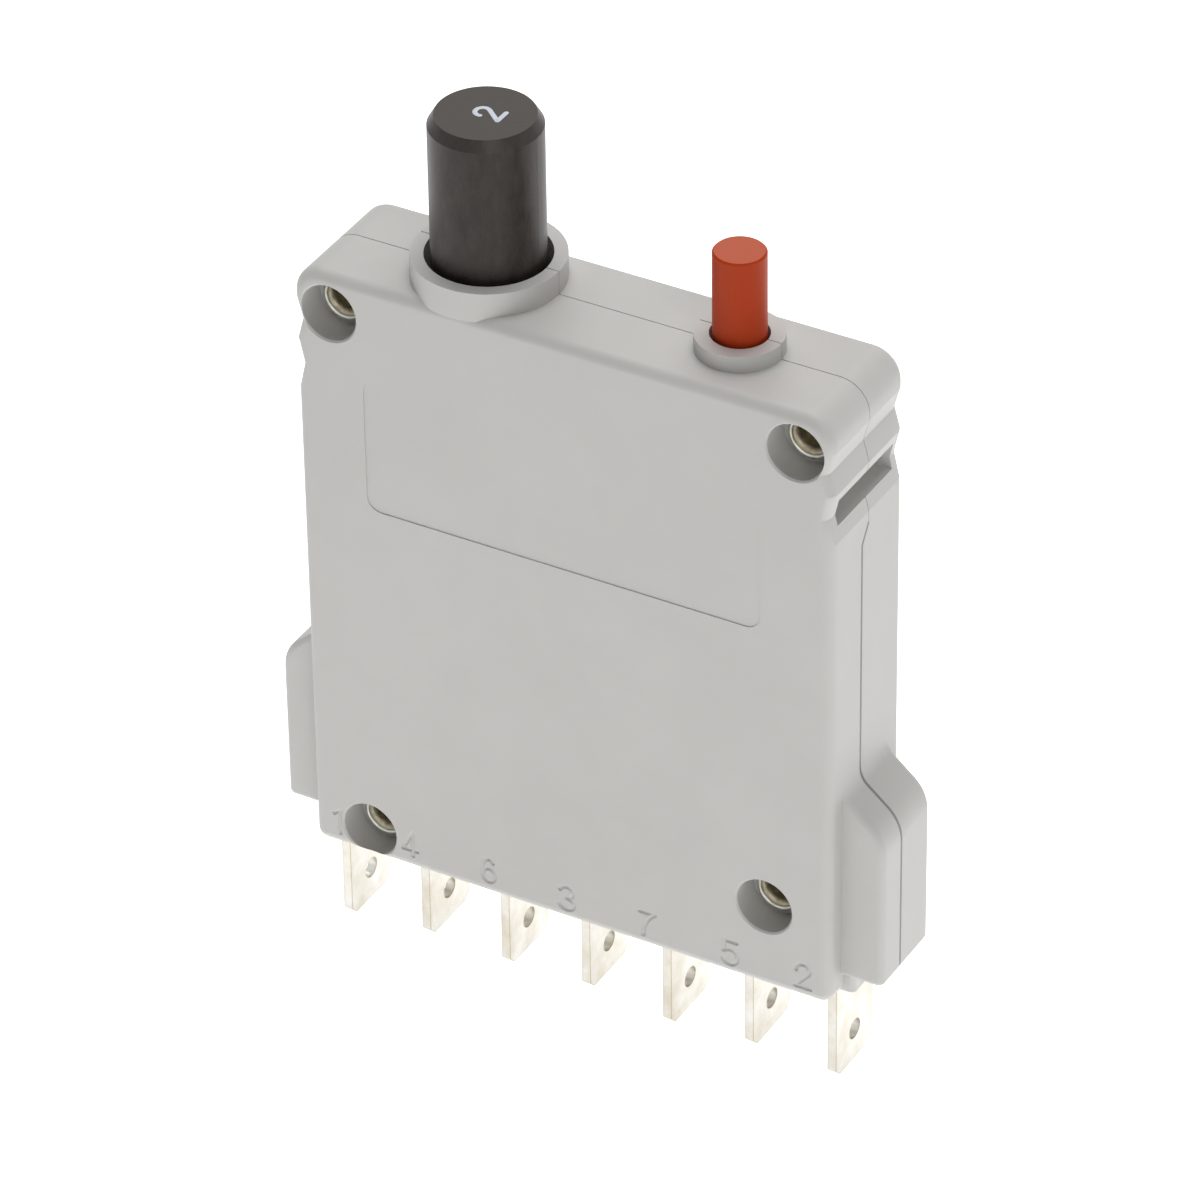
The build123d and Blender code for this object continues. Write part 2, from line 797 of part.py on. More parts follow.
# Signal slider: follower on the reset button's ramp, foot bar and two pegs that push the leaves
with BuildPart() as signal_slider:
    bar_left_x = slider_bar_x - slider_bar_width / 2
    bar_right_x = slider_bar_x + slider_bar_width / 2
    peg_back = leaf_thick / 2 + push_gap + peg_radius
    foot_left_x = tab_x("4") - peg_back - peg_radius
    foot_right_x = tab_x("7") - peg_back + peg_radius
    with BuildSketch(lane(slider_back_y)):
        with BuildLine():
            Polyline(
                (ramp_edge(follower_low_z, air_gap), follower_low_z),
                (ramp_edge(follower_top_z, air_gap), follower_top_z),
                (bar_right_x, follower_top_z), (bar_right_x, foot_middle_z),
                (bar_left_x, foot_middle_z), (bar_left_x, follower_low_z), close=True,
            )
        make_face()
        with Locations((foot_left_x, slider_foot_z)):
            Rectangle(
                foot_right_x - foot_left_x, slider_foot_height, align=(Align.MIN, Align.MIN)
            )
    extrude(amount=slider_thick)
    with BuildSketch(lane(slider_front_y)):
        with Locations(*[(tab_x(name) - peg_back, foot_middle_z) for name in "47"]):
            Circle(peg_radius)
    extrude(amount=slider_front_y + strip_half)


def signal_leaf(name):
    """Spring leaf that stands on the terminal with this number."""
    with BuildPart() as leaf:
        x = tab_x(name)
        block(
            x - leaf_thick / 2, x + leaf_thick / 2, -strip_half, strip_half,
            leaf_low_z, leaf_low_z + leaf_height,
        )
        fillet(leaf.edges().filter_by(Axis.X).group_by(Axis.Z)[-1], strip_bend)
    return leaf


def signal_contact(x, reach):
    """Round contact on an upright strip, from x towards x + reach."""
    with BuildPart() as contact:
        with BuildSketch(Plane.YZ.offset(x)):
            with Locations((0, signal_contact_z)):
                Circle(signal_contact_radius)
        extrude(amount=reach)
    return contact


def signal_strip(name, upright_x, low_z, jog_z):
    """Fixed strip welded to the side of a terminal, jogged to stand at upright_x."""
    x = tab_x(name) - (tab_thick + signal_strip_thick) / 2
    return bent_strip(
        [(x, low_z), (x, jog_z), (upright_x, jog_z), (upright_x, leaf_low_z + leaf_height)],
        signal_strip_thick, -strip_half, strip_half,
    )


signal_leaf_4 = signal_leaf("4")
signal_leaf_7 = signal_leaf("7")
signal_contact_4 = signal_contact(tab_x("4") + leaf_thick / 2, signal_contact_height)
signal_contact_7 = signal_contact(tab_x("7") + leaf_thick / 2, signal_contact_height)
upright_6_x = tab_x("4") + signal_strip_gap
upright_5_x = tab_x("7") + signal_strip_gap
signal_strip_6 = signal_strip("6", upright_6_x, weld_low_z, root_top_z + signal_jog)
signal_strip_5 = signal_strip("5", upright_5_x, base_thick, base_thick + signal_low_jog)
with BuildPart() as signal_fixed_contacts:
    for x in (upright_6_x, upright_5_x):
        fixed = signal_contact(x - signal_strip_thick / 2, -signal_contact_height)
        add(fixed.part)


def terminal(name, length):
    """Tab terminal: blade below the base, anchor lugs inside it and a root standing in the housing."""
    x = tab_x(name)
    top_z = base_thick + (short_root_height if name == "5" else root_height)
    with BuildPart() as blade:
        with BuildSketch(Plane.YZ.offset(x - tab_thick / 2)):
            with Locations((0, -length)):
                Rectangle(tab_width, top_z + length, align=(Align.CENTER, Align.MIN))
            with Locations((0, anchor_z)):
                Rectangle(
                    tab_width + 2 * anchor_reach, anchor_height, align=(Align.CENTER, Align.MIN)
                )
            with Locations((0, tab_hole_from_tip - length)):
                Circle(tab_hole_radius, mode=Mode.SUBTRACT)
        extrude(amount=tab_thick)
        chamfer(blade.edges().filter_by(Axis.X).group_by(Axis.Z)[0], tab_corner)
        chamfer(blade.edges().filter_by(Axis.Y).group_by(Axis.Z)[0], tab_lead)
    return blade


terminals = {
    name: terminal(name, length) for name, length in zip(terminal_names, tab_lengths)
}

# Springs
reset_spring = coil_spring(
    reset_spring_x, shelf_top_z, flange_low_z,
    reset_spring_wire, reset_spring_radius, reset_spring_turns,
)
release_spring = coil_spring(
    release_x, release_shelf_z, release_flange_low_z,
    release_spring_wire, release_spring_radius, release_spring_turns,
)
contact_spring = coil_spring(
    reset_x, bar_top_z, stem_low_z,
    contact_spring_wire, contact_spring_radius, contact_spring_turns,
)
latch_spring = coil_spring(
    latch_spring_x, spring_arm_top_z, peg_low_z,
    latch_spring_wire, latch_spring_radius, latch_spring_turns,
)

parts = {
    "front_shell": front_shell,
    "back_shell": back_shell,
    "housing_rivets": housing_rivets,
    "reset_button": reset_button,
    "reset_spring": reset_spring,
    "release_button": release_button,
    "release_spring": release_spring,
    "contact_bar": contact_bar,
    "contact_spring": contact_spring,
    "moving_contacts": moving_contacts,
    "fixed_contacts": fixed_contacts,
    "line_strip": line_strip,
    "feed_strip": feed_strip,
    "load_strip": load_strip,
    "tap_strip": tap_strip,
    "bimetal": bimetal,
    "latch_lever": latch_lever,
    "latch_pin": latch_pin,
    "latch_spring": latch_spring,
    "calibration_screw": calibration_screw,
    "signal_slider": signal_slider,
    "signal_leaf_4": signal_leaf_4,
    "signal_leaf_7": signal_leaf_7,
    "signal_contact_4": signal_contact_4,
    "signal_contact_7": signal_contact_7,
    "signal_strip_5": signal_strip_5,
    "signal_strip_6": signal_strip_6,
    "signal_fixed_contacts": signal_fixed_contacts,
}
for name, blade in terminals.items():
    parts[f"terminal_{name}"] = blade

os.makedirs("parts", exist_ok=True)
for name, piece in parts.items():
    piece.part.label = name
    export_step(piece.part, f"parts/{name}.step")
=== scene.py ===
"""Looks of a plug-in thermal circuit breaker: moulded housing, two buttons and seven tabs."""

import json
import math

import bmesh
import bpy
from mathutils import Matrix, Vector


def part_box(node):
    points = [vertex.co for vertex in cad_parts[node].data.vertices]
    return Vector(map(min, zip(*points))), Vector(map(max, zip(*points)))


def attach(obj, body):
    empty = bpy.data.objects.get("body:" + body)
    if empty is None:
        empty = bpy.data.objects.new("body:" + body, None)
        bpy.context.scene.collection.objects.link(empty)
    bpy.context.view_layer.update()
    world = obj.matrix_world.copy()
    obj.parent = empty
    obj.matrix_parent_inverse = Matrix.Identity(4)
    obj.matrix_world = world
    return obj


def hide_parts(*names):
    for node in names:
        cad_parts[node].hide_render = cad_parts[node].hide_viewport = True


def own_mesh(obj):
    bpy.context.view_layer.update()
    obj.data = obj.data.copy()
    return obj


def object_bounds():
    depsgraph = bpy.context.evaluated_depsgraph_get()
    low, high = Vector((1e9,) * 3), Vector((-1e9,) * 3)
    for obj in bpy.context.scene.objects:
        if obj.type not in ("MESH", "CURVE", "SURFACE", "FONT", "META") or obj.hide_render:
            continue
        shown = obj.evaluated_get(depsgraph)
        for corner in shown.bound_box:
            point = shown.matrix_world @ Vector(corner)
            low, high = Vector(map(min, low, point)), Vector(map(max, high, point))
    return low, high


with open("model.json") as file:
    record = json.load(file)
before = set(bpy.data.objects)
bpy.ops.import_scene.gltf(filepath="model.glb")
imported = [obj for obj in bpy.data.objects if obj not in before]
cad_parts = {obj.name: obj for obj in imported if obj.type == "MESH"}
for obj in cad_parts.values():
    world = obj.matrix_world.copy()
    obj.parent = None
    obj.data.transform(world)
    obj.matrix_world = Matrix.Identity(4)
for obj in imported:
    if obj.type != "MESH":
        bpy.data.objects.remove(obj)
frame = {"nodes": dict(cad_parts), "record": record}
cad_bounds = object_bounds()
nodes = frame["nodes"]

# Sizes are in millimetres and angles in degrees, unless their comment says otherwise
MM = 0.001

# Mottled colours: value of the noise at which the dark and the light tint are reached
MOTTLE_DARK = 0.3
MOTTLE_LIGHT = 0.7

# Plastics: how far the roughness drifts either way, and the upward part of the surface's direction
# from which a button's top is painted lighter as painted glare
PLASTIC_DRIFT = 0.05
PAINTED_GLARE_FROM = 0.9

# Metals: how far the roughness drifts down and up, how much the drawn lines are stretched in Z, the
# width of the band along a stamped corner that is painted darker brass, as painted shade of the
# rounded corner and as plating worn thin, and the cosine of the turn across it at which this starts
# and is full
METAL_DRIFT = (0.06, 0.1)
DRAWN_STRETCH = 0.06
SHADED_BARE_CORNER = 0.16
SHADED_BARE_SAMPLES = 6
SHADED_BARE_TURN = (0.99, 0.8)

# Edges that turn by more than this are creases. The facets of the shells' fillets turn less.
SHELL_CREASE = 12
RATING_CREASE = 60
RIVET_CREASE = 40

# Points of a mesh that lie nearer together than this are merged
SHELL_MERGE = 1e-3
RIVET_MERGE = 1e-4

# Bows of a figure are drawn in steps of about this angle, but no fewer than this many
BOW_STEP = 12
BOW_LEAST = 4

# Engraved terminal numbers: middles in X and Z on the front face, and the section of the groove
NUMBER_PLACES = {
    "1": (-21.65, 2.45),
    "4": (-14.9, 2.55),
    "6": (-7.4, 2.5),
    "3": (-0.1, 2.3),
    "7": (7.4, 2.35),
    "5": (15.0, 2.25),
    "2": (21.65, 2.35),
}
NUMBER_STROKE = 0.42
NUMBER_DEPTH = 0.15
FRONT_FACE = -6.0

# Block that cuts a number: cells of its underside, and how far it stands clear of the front face
# beside the strokes and on its outer side
CUTTER_CELLS = (48, 58)
CUTTER_CELL = 0.05
CUTTER_CLEARANCE = 0.04
CUTTER_HEIGHT = 0.4

# Printed rating on the reset button: middle in X and Y, width of the strokes, thickness of the ink,
# and the roundness of the strokes and of their ends
RATING_NUMBER = "2"
RATING_PLACE = (-9.25, 0.095)
RATING_STROKE = 0.4
RATING_THICKNESS = 0.06
ROD_RESOLUTION = 3
END_SEGMENTS = (16, 8)

# Rivets: places in X and Z, and the profile of the rolled rim, the bore and the closed head
RIVET_PLACES = ((-20.8, 52.3), (20.8, 52.3), (-18.7, 2.6), (18.1, 8.0))
RIVET_STEPS = 48
RIVET_FLANGE = 1.95
RIVET_FLANGE_THICK = 0.55
RIVET_SHANK = 1.45
RIVET_BORE = 1.1
RIVET_BORE_DEPTH = 1.7
RIVET_FLARE_DEPTH = 0.6
RIVET_CHAMFER = 0.1
BORE_FLOOR_SHARE = 0.9
ROLL_RADIUS = 0.2
ROLL_STEPS = 8

# Coil springs: the body each rides on, the joint that shortens it, its end that stays against
# that body, and how far the joint shortens it
SPRINGS = {
    "reset_spring": ("housing", "reset_press", "low", 5.5),
    "release_spring": ("housing", "release_press", "low", 2.4),
    "contact_spring": ("reset_button", "contact_yield", "high", 0.8),
    "latch_spring": ("housing", "latch_turn", "high", 1.15),
}

# Floor: half of its width in metres, and its depth under the tips of the tabs
FLOOR_HALF = 3.0
FLOOR_DEPTH = 0.1

# Softboxes, in metres and watts: place, width and power. They face the middle of the housing.
SOFTBOX_AIM = (0, 0, 0.03)
SOFTBOXES = {
    "right_softbox": ((0.5, 0.15, 0.06), 0.4, 0.2),
    "top_softbox": ((-0.05, 0.15, 0.6), 0.5, 3.05),
    "front_softbox": ((0.45, -0.5, 0.45), 0.4, 1.15),
}

# Camera, fitted to the photograph: place, and its three axes
CAMERA_PLACE = (243.316, -422.145, 366.435)
CAMERA_RIGHT = (0.87087298, 0.49135353, -0.01232686)
CAMERA_UP = (-0.27128501, 0.50143547, 0.82156370)
CAMERA_BACK = (0.40985935, -0.71213354, 0.56998345)
CAMERA_SENSOR = 36
CAMERA_LENS = 223.0
CAMERA_SHIFT = (-0.00296, -0.00243)
CAMERA_CLIP = 10


def colour(hex_value):
    """Linear colour with full alpha from an sRGB hex value such as "#C6C5C3"."""
    channels = [int(hex_value[place:place + 2], 16) / 255 for place in (1, 3, 5)]
    linear = [c / 12.92 if c <= 0.04045 else ((c + 0.055) / 1.055) ** 2.4 for c in channels]
    return (*linear, 1.0)


def add_node(tree, kind, inputs=None, **settings):
    """New node with its settings. Each input is a value, or the output socket that feeds it."""
    new = tree.nodes.new(kind)
    for name, value in settings.items():
        setattr(new, name, value)
    for name, value in (inputs or {}).items():
        if isinstance(value, bpy.types.NodeSocket):
            tree.links.new(value, new.inputs[name])
        else:
            new.inputs[name].default_value = value
    return new


def start_material(name):
    """New material with its tree, shader and object coordinates."""
    material = bpy.data.materials.new(name)
    material.use_nodes = True
    tree = material.node_tree
    tree.nodes.clear()
    shader = add_node(tree, "ShaderNodeBsdfPrincipled")
    add_node(tree, "ShaderNodeOutputMaterial", {"Surface": shader.outputs["BSDF"]})
    place = add_node(tree, "ShaderNodeTexCoord").outputs["Object"]
    return material, tree, shader, place


def mottled(tree, place, grain_mm, light, dark, streak=1.0):
    """Noise, and the tint it drives between two values over patches of about grain_mm.

    The patches are longer in Z by streak."""
    streaked = add_node(
        tree, "ShaderNodeMapping", {"Vector": place, "Scale": (1.0, 1.0, 1 / streak)}
    )
    noise = add_node(
        tree, "ShaderNodeTexNoise",
        {
            "Vector": streaked.outputs["Vector"], "Scale": 1 / (grain_mm * MM),
            "Detail": 3.0, "Roughness": 0.6,
        },
    )
    ramp = add_node(tree, "ShaderNodeValToRGB", {"Fac": noise.outputs["Fac"]})
    dark_stop, light_stop = ramp.color_ramp.elements
    dark_stop.position = MOTTLE_DARK
    dark_stop.color = colour(dark)
    light_stop.position = MOTTLE_LIGHT
    light_stop.color = colour(light)
    return noise.outputs["Fac"], ramp.outputs["Color"]


def covered(tree, tint, value, start, full, cover):
    """Tint that gives way to a cover colour while a value goes from start to full."""
    share = add_node(
        tree, "ShaderNodeMapRange", {"Value": value, "From Min": start, "From Max": full}
    )
    mix = add_node(
        tree, "ShaderNodeMixRGB",
        {"Fac": share.outputs["Result"], "Color1": tint, "Color2": colour(cover)},
    )
    return mix.outputs["Color"]


def finish_surface(tree, shader, tint, patch, roughness_range, height, strength, depth_mm):
    """Feeds the shader its tint, a roughness that drifts with the patches, and its relief."""
    tree.links.new(tint, shader.inputs["Base Color"])
    least, most = roughness_range
    spread = add_node(
        tree, "ShaderNodeMapRange", {"Value": patch, "To Min": least, "To Max": most}
    )
    tree.links.new(spread.outputs["Result"], shader.inputs["Roughness"])
    bump = add_node(
        tree, "ShaderNodeBump",
        {"Height": height, "Strength": strength, "Distance": depth_mm * MM},
    )
    tree.links.new(bump.outputs["Normal"], shader.inputs["Normal"])


def moulded_plastic(
    name, light, dark, roughness, grain_mm, grain_depth_mm, drift_mm=9.0, streak=1.0, sheen=0.5,
    painted_glare=None,
):
    """Matt moulded plastic: even colour with faint flow patches and the tool's eroded grain.

    Upward faces can be painted lighter with a given colour: painted glare on a button's top."""
    material, tree, shader, place = start_material(name)
    patch, tint = mottled(tree, place, drift_mm, light, dark, streak)
    # Painted glare: upward faces take a lighter colour, as if lit brighter from above
    if painted_glare:
        facing = add_node(tree, "ShaderNodeTexCoord").outputs["Normal"]
        upward = add_node(tree, "ShaderNodeSeparateXYZ", {"Vector": facing}).outputs["Z"]
        tint = covered(tree, tint, upward, PAINTED_GLARE_FROM, 1.0, painted_glare)
    shader.inputs["Specular IOR Level"].default_value = sheen
    grain = add_node(
        tree, "ShaderNodeTexNoise",
        {"Vector": place, "Scale": 1 / (grain_mm * MM), "Detail": 2.0, "Roughness": 0.7},
    )
    drift = (roughness - PLASTIC_DRIFT, roughness + PLASTIC_DRIFT)
    finish_surface(tree, shader, tint, patch, drift, grain.outputs["Fac"], 0.5, grain_depth_mm)
    return material


def plated_metal(name, light, dark, roughness, drift_mm, scratch_mm, scratch_depth_mm, shade_and_bare=None):
    """Rolled and plated metal: tint that drifts with tarnish, and fine drawn lines along Z.

    Corners can take a darker brass colour: painted shade of the rounded corner, and the plating
    worn thin so the brass shows through."""
    material, tree, shader, place = start_material(name)
    patch, tint = mottled(tree, place, drift_mm, light, dark)
    # Darker brass along the corners: painted shade of the rounded corner, with plating worn through
    if shade_and_bare:
        rounded = add_node(
            tree, "ShaderNodeBevel", {"Radius": SHADED_BARE_CORNER * MM}, samples=SHADED_BARE_SAMPLES
        )
        flat = add_node(tree, "ShaderNodeNewGeometry").outputs["Normal"]
        turn = add_node(
            tree, "ShaderNodeVectorMath", {0: rounded.outputs["Normal"], 1: flat},
            operation="DOT_PRODUCT",
        )
        tint = covered(tree, tint, turn.outputs["Value"], *SHADED_BARE_TURN, shade_and_bare)
    shader.inputs["Metallic"].default_value = 1.0
    drawn = add_node(
        tree, "ShaderNodeMapping", {"Vector": place, "Scale": (1.0, 1.0, DRAWN_STRETCH)}
    )
    lines = add_node(
        tree, "ShaderNodeTexNoise",
        {"Vector": drawn.outputs["Vector"], "Scale": 1 / (scratch_mm * MM), "Detail": 3.0},
    )
    drift = (roughness - METAL_DRIFT[0], roughness + METAL_DRIFT[1])
    finish_surface(tree, shader, tint, patch, drift, lines.outputs["Fac"], 0.4, scratch_depth_mm)
    return material


def add_piece(name, mesh, *materials):
    """Object at the origin that shows this mesh, with these materials added to the mesh."""
    piece = bpy.data.objects.new(name, mesh)
    bpy.context.scene.collection.objects.link(piece)
    for material in materials:
        mesh.materials.append(material)
    return piece


def evaluated_mesh(piece, name):
    """Mesh of a piece with its modifiers applied."""
    depsgraph = bpy.context.evaluated_depsgraph_get()
    depsgraph.update()
    mesh = bpy.data.meshes.new_from_object(piece.evaluated_get(depsgraph), depsgraph=depsgraph)
    mesh.name = name
    return mesh


def to_mesh(shape, name):
    """Mesh made of a bmesh, which is then freed."""
    mesh = bpy.data.meshes.new(name)
    shape.to_mesh(mesh)
    shape.free()
    return mesh


def cleaned(mesh):
    """bmesh of a mesh with its doubled points merged and its slivers without area dropped."""
    shape = bmesh.new()
    shape.from_mesh(mesh)
    bmesh.ops.remove_doubles(shape, verts=shape.verts, dist=SHELL_MERGE * MM)
    bmesh.ops.dissolve_degenerate(shape, edges=shape.edges, dist=SHELL_MERGE * MM)
    return shape


def smooth_within(shape, crease):
    """Marks faces smooth, and the edges that turn by at least the crease angle sharp."""
    for face in shape.faces:
        face.smooth = True
    for edge in shape.edges:
        edge.smooth = edge.calc_face_angle(0.0) < math.radians(crease)


def bow(x, y, half_width, half_height, start, end):
    """Points along part of an ellipse, between two angles."""
    steps = max(BOW_LEAST, round(abs(end - start) / BOW_STEP))
    turns = [math.radians(start + (end - start) * step / steps) for step in range(steps + 1)]
    return [(x + half_width * math.cos(t), y + half_height * math.sin(t)) for t in turns]


# Middle lines of plain upright figures 2.3 mm high, each figure as separate strokes
FIGURES = {
    "1": [[(-0.45, 0.72), (0.1, 1.15)], [(0.1, 1.15), (0.1, -1.15)]],
    "2": [bow(0, 0.57, 0.6, 0.58, 190, -40) + [(-0.68, -1.15)], [(-0.68, -1.15), (0.7, -1.15)]],
    "3": [bow(0, 0.58, 0.6, 0.57, 165, -90), bow(0, -0.57, 0.68, 0.58, 90, -165)],
    "4": [
        [(0.3, 1.15), (-0.68, -0.6)],
        [(-0.68, -0.6), (0.72, -0.6)],
        [(0.3, 1.15), (0.3, -1.15)],
    ],
    "5": [
        [(0.62, 1.15), (-0.5, 1.15)],
        [(-0.5, 1.15), (-0.6, 0.1)],
        [(-0.6, 0.1)] + bow(0, -0.4, 0.7, 0.75, 125, -155),
    ],
    "6": [bow(0, 0, 0.58, 1.15, 45, 205), bow(0, -0.47, 0.58, 0.68, 205, -155)],
    "7": [[(-0.72, 1.15), (0.72, 1.15)], bow(1.54, -1.15, 1.9, 2.55, 115.6, 180)],
}


def stroked(figure, stroke, place):
    """bmesh of a figure drawn with round rods, their ends rounded, put in place by a matrix."""
    rods = bpy.data.curves.new("rods", "CURVE")
    rods.dimensions = "3D"
    rods.bevel_depth = stroke / 2 * MM
    rods.bevel_resolution = ROD_RESOLUTION
    rods.use_fill_caps = True
    for points in FIGURES[figure]:
        rod = rods.splines.new("POLY")
        rod.points.add(len(points) - 1)
        for point, (x, y) in zip(rod.points, points):
            point.co = (x * MM, y * MM, 0, 1)
    carrier = bpy.data.objects.new("rods", rods)
    bpy.context.scene.collection.objects.link(carrier)
    shape = bmesh.new()
    shape.from_mesh(evaluated_mesh(carrier, "rods"))
    bpy.data.objects.remove(carrier)
    ends = {point for points in FIGURES[figure] for point in (points[0], points[-1])}
    for x, y in sorted(ends):
        bmesh.ops.create_uvsphere(
            shape, u_segments=END_SEGMENTS[0], v_segments=END_SEGMENTS[1],
            radius=stroke / 2 * MM, matrix=Matrix.Translation((x * MM, y * MM, 0)),
        )
    bmesh.ops.recalc_face_normals(shape, faces=shape.faces)
    bmesh.ops.transform(shape, matrix=place, verts=shape.verts)
    return shape


def distance_to_line(spot, start, run):
    """Distance from a spot to the line that starts at a point and goes on by run."""
    along = min(1, max(0, (spot - start).dot(run) / run.length_squared))
    return (spot - start - run * along).length


def groove_cutter(figure, stroke, depth, place):
    """bmesh of a block whose underside hangs down as rounded ridges, one along each stroke."""
    half = [cells * CUTTER_CELL / 2 for cells in CUTTER_CELLS]
    shape = bmesh.new()
    bmesh.ops.create_grid(shape, x_segments=CUTTER_CELLS[0], y_segments=CUTTER_CELLS[1], size=1.0)
    lines = [
        (Vector(start), Vector(end) - Vector(start))
        for points in FIGURES[figure] for start, end in zip(points, points[1:])
    ]
    for vertex in shape.verts:
        spot = Vector((vertex.co.x * half[0], vertex.co.y * half[1]))
        nearest = min(distance_to_line(spot, start, run) for start, run in lines)
        hang = depth * (1 - (2 * nearest / stroke) ** 2)
        vertex.co = (spot.x * MM, spot.y * MM, -max(hang, -CUTTER_CLEARANCE) * MM)
    rim = [edge for edge in shape.edges if edge.is_boundary]
    for vertex in bmesh.ops.extrude_edge_only(shape, edges=rim)["geom"]:
        if isinstance(vertex, bmesh.types.BMVert):
            vertex.co.z = CUTTER_HEIGHT * MM
    rim = [edge for edge in shape.edges if edge.is_boundary]
    bmesh.ops.holes_fill(shape, edges=rim, sides=0)
    bmesh.ops.recalc_face_normals(shape, faces=shape.faces)
    bmesh.ops.transform(shape, matrix=place, verts=shape.verts)
    return shape


def add_shell(name, shape, node):
    """Half of the housing that replaces a CAD node, with its flat faces kept flat."""
    smooth_within(shape, SHELL_CREASE)
    shell = add_piece(name, to_mesh(shape, name), glass_filled_polyamide)
    weighted = shell.modifiers.new("flat_faces", "WEIGHTED_NORMAL")
    weighted.keep_sharp = True
    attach(shell, "housing")
    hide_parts(node)


def add_softbox(name, place, width, power):
    """Square area lamp that faces the middle of the housing."""
    lamp = bpy.data.lights.new(name, "AREA")
    lamp.size = width
    lamp.energy = power
    holder = bpy.data.objects.new(name, lamp)
    holder.location = place
    facing = Vector(SOFTBOX_AIM) - Vector(place)
    holder.rotation_euler = facing.to_track_quat("-Z", "Y").to_euler()
    bpy.context.scene.collection.objects.link(holder)


# The grain of the mouldings and the drawn lines of the metals are finer on the real part. They are
# drawn as coarse as they need to show.

# Housing: glass-filled polyamide, moulded in an eroded tool, which leaves it matt and even
glass_filled_polyamide = moulded_plastic(
    "glass_filled_polyamide", "#C9C8C5", "#C5C4C1", roughness=0.52, grain_mm=0.16,
    grain_depth_mm=0.012,
)
# Reset button: moulded acetal, satin, with browner streaks down its side and a top painted lighter
# as painted glare
black_acetal = moulded_plastic(
    "black_acetal", "#352E29", "#221C18", roughness=0.4, grain_mm=0.2, grain_depth_mm=0.03,
    drift_mm=0.8, streak=2.5, sheen=0.3, painted_glare="#3A342E",
)
# Release button: moulded acetal, satin and even, with its top painted paler as painted glare
red_acetal = moulded_plastic(
    "red_acetal", "#B63C0B", "#AC3607", roughness=0.5, grain_mm=0.15, grain_depth_mm=0.008,
    sheen=0.18, painted_glare="#C25F42",
)
# Inner mouldings: acetal in its own ivory colour, with faint flow patches
natural_acetal = moulded_plastic(
    "natural_acetal", "#D8D0BC", "#CFC6B0", roughness=0.5, grain_mm=0.2, grain_depth_mm=0.01
)
# Rating: pad-printed white ink, dull, and slightly uneven where it is thin
pad_printed_ink = moulded_plastic(
    "pad_printed_ink", "#D9DEE8", "#CDD3DF", roughness=0.6, grain_mm=0.12, grain_depth_mm=0.004,
    drift_mm=0.6,
)
# Tabs and strips: stamped brass with satin silver plating, which has yellowed in patches, and whose
# corners are painted darker brass: painted shade of the rounded corner, and plating worn through
silver_plated_brass = plated_metal(
    "silver_plated_brass", "#DCDAD6", "#C6C0B2", roughness=0.33, drift_mm=2.4, scratch_mm=0.12,
    scratch_depth_mm=0.006, shade_and_bare="#9C8C54",
)
# Rivets: nickel-plated steel, softly bright, with slightly darker patches
nickel_plated_steel = plated_metal(
    "nickel_plated_steel", "#DCDCD6", "#B9B8A8", roughness=0.42, drift_mm=0.9, scratch_mm=0.1,
    scratch_depth_mm=0.004,
)
# Bores of the rivets: steel with little plating, which has gone brown
browned_steel = plated_metal(
    "browned_steel", "#B0A893", "#867E6B", roughness=0.42, drift_mm=0.35, scratch_mm=0.08,
    scratch_depth_mm=0.012,
)
# Contacts: silver alloy rivets, the palest and brightest of the metals
silver_alloy = plated_metal(
    "silver_alloy", "#EDECE8", "#DCDAD2", roughness=0.3, drift_mm=0.8, scratch_mm=0.1,
    scratch_depth_mm=0.004,
)
# Fork: rolled bimetal sheet, warm grey with drawn lines
rolled_bimetal = plated_metal(
    "rolled_bimetal", "#B9AFA4", "#A2968A", roughness=0.35, drift_mm=2.0, scratch_mm=0.15,
    scratch_depth_mm=0.006,
)
# Signal leaves: rolled spring bronze, light brown and satin
spring_bronze = plated_metal(
    "spring_bronze", "#D2A679", "#BD8E62", roughness=0.32, drift_mm=1.5, scratch_mm=0.12,
    scratch_depth_mm=0.005,
)
# Latch pin and calibration screw: turned steel, bright and neutral
turned_steel = plated_metal(
    "turned_steel", "#C6C7C8", "#B2B3B5", roughness=0.28, drift_mm=1.0, scratch_mm=0.1,
    scratch_depth_mm=0.004,
)
# Coil springs: drawn steel wire, bluish grey
drawn_spring_wire = plated_metal(
    "drawn_spring_wire", "#BEBFC1", "#A5A6A9", roughness=0.3, drift_mm=0.8, scratch_mm=0.1,
    scratch_depth_mm=0.004,
)

finishes = {
    "housing_plastic": glass_filled_polyamide,
    "reset_plastic": black_acetal,
    "release_plastic": red_acetal,
    "mechanism_plastic": natural_acetal,
    "rivet_metal": nickel_plated_steel,
    "silver_plated_brass": silver_plated_brass,
    "contact_silver": silver_alloy,
    "bimetal": rolled_bimetal,
    "spring_bronze": spring_bronze,
    "steel": turned_steel,
    "spring_steel": drawn_spring_wire,
}
for subpart in frame["record"]["subparts"]:
    for slot in nodes[subpart["node"]].material_slots:
        slot.material = finishes[subpart["material_slot"]]

# Front shell with the terminal numbers engraved in it
numbers = bmesh.new()
upright = Matrix.Rotation(math.radians(90), 4, "X")
for number, (number_x, number_z) in NUMBER_PLACES.items():
    number_place = Matrix.Translation((number_x * MM, FRONT_FACE * MM, number_z * MM)) @ upright
    cutter = to_mesh(groove_cutter(number, NUMBER_STROKE, NUMBER_DEPTH, number_place), "cutter")
    numbers.from_mesh(cutter)
    bpy.data.meshes.remove(cutter)
number_cutter = add_piece("number_cutter", to_mesh(numbers, "number_cutter"))

